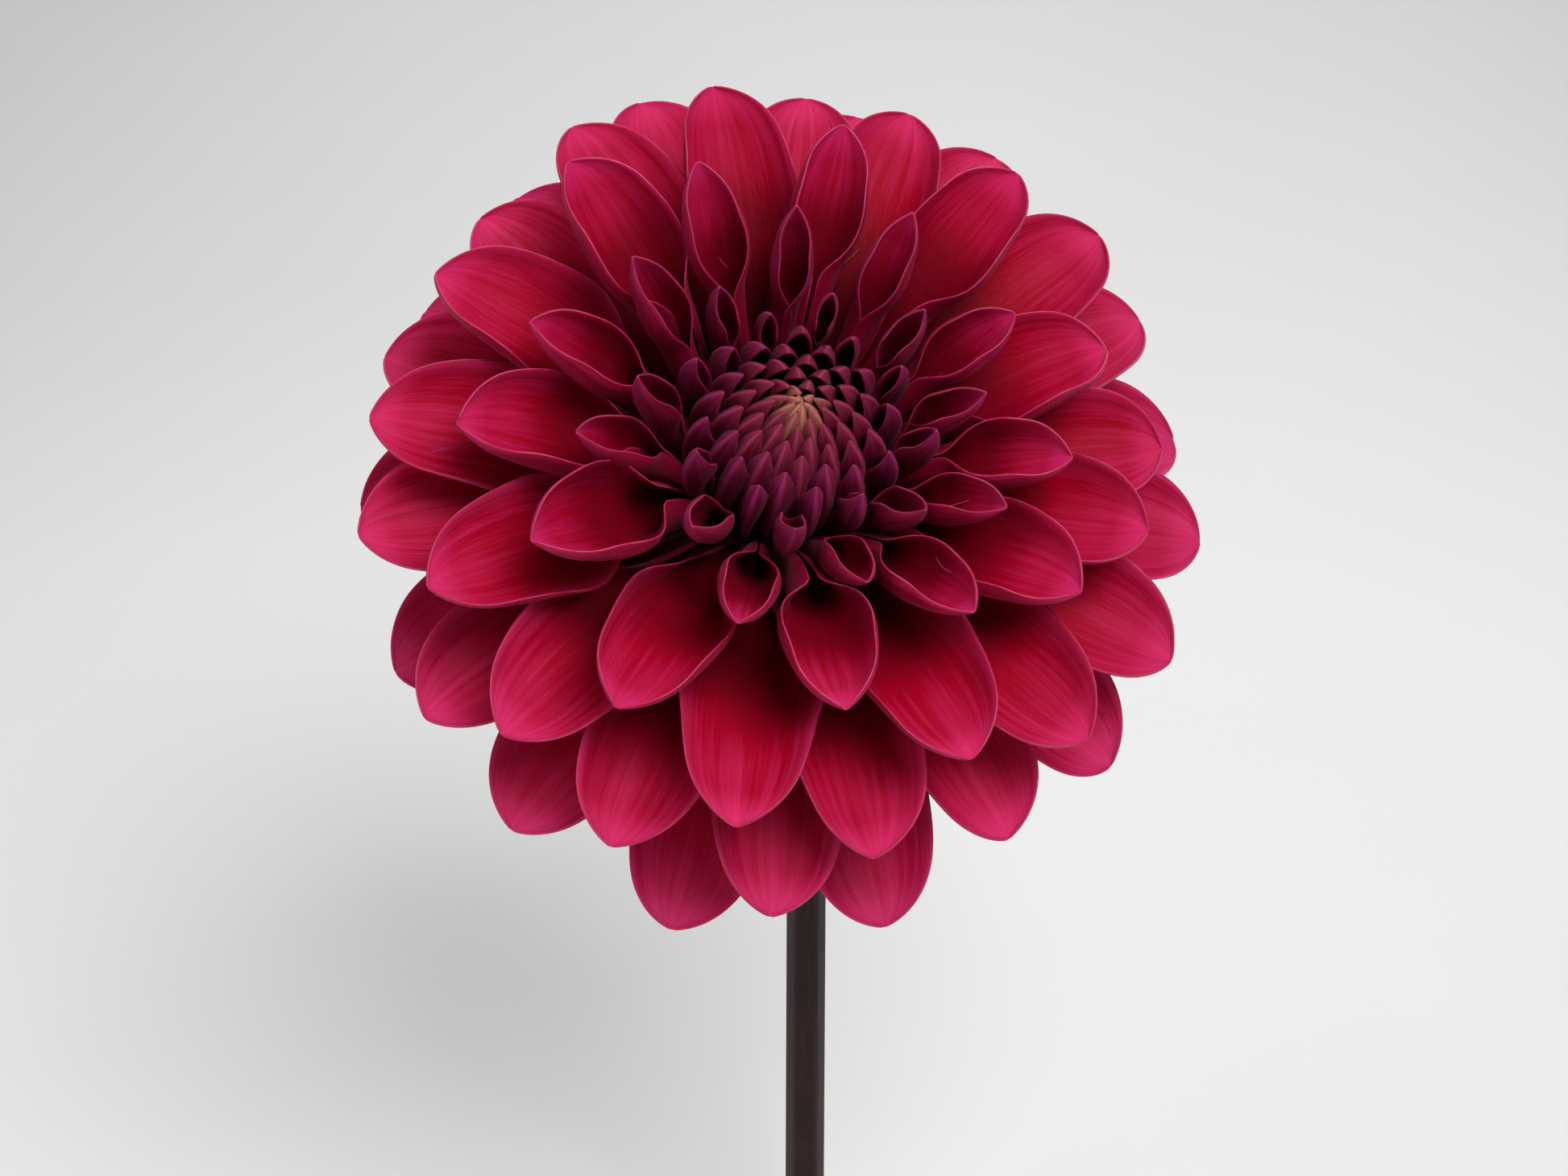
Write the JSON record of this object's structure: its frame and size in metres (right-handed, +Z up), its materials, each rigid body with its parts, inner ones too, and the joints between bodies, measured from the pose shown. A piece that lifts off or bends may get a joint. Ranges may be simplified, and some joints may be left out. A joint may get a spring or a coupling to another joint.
{
  "type": "cut dahlia flower",
  "caption": "Cut dahlia: a round head of cupped, pointed crimson petals round a closed dark bud, carried on a bent neck and a straight stem cut flat.",
  "frame": {"origin": "centre of the stem's flat cut end", "axes": "+Z up along the straight stem; the head faces -Y and upwards; +X is to the right of somebody who looks at the head"},
  "size_m": [0.1214, 0.1054, 0.223],
  "materials": {
    "stem": "smooth plant skin, dark maroon brown",
    "young_floret": "dark maroon petal with a mauve bloom",
    "petal": "velvety crimson petal with rose streaks",
    "outer_bract": "green fleshy leaf",
    "inner_bract": "thin papery scale, greenish brown"
  },
  "bodies": {
    "root": {"stem": "stem", "young_florets": "young_floret", "petal_01": "petal", "petal_02": "petal", "petal_03": "petal", "petal_04": "petal", "petal_05": "petal", "petal_06": "petal", "petal_07": "petal", "petal_08": "petal", "petal_09": "petal", "petal_10": "petal", "petal_11": "petal", "petal_12": "petal", "petal_13": "petal", "petal_14": "petal", "petal_15": "petal", "petal_16": "petal", "petal_17": "petal", "petal_18": "petal", "petal_19": "petal", "petal_20": "petal", "petal_21": "petal", "petal_22": "petal", "petal_23": "petal", "petal_24": "petal", "petal_25": "petal", "petal_26": "petal", "petal_27": "petal", "petal_28": "petal", "petal_29": "petal", "petal_30": "petal", "petal_31": "petal", "petal_32": "petal", "petal_33": "petal", "petal_34": "petal", "petal_35": "petal", "petal_36": "petal", "petal_37": "petal", "petal_38": "petal", "petal_39": "petal", "petal_40": "petal", "petal_41": "petal", "petal_42": "petal", "petal_43": "petal", "petal_44": "petal", "petal_45": "petal", "outer_bract_1": "outer_bract", "outer_bract_2": "outer_bract", "outer_bract_3": "outer_bract", "outer_bract_4": "outer_bract", "outer_bract_5": "outer_bract", "inner_bract_1": "inner_bract", "inner_bract_2": "inner_bract", "inner_bract_3": "inner_bract", "inner_bract_4": "inner_bract", "inner_bract_5": "inner_bract", "inner_bract_6": "inner_bract", "inner_bract_7": "inner_bract", "inner_bract_8": "inner_bract"}
  },
  "joints": []
}
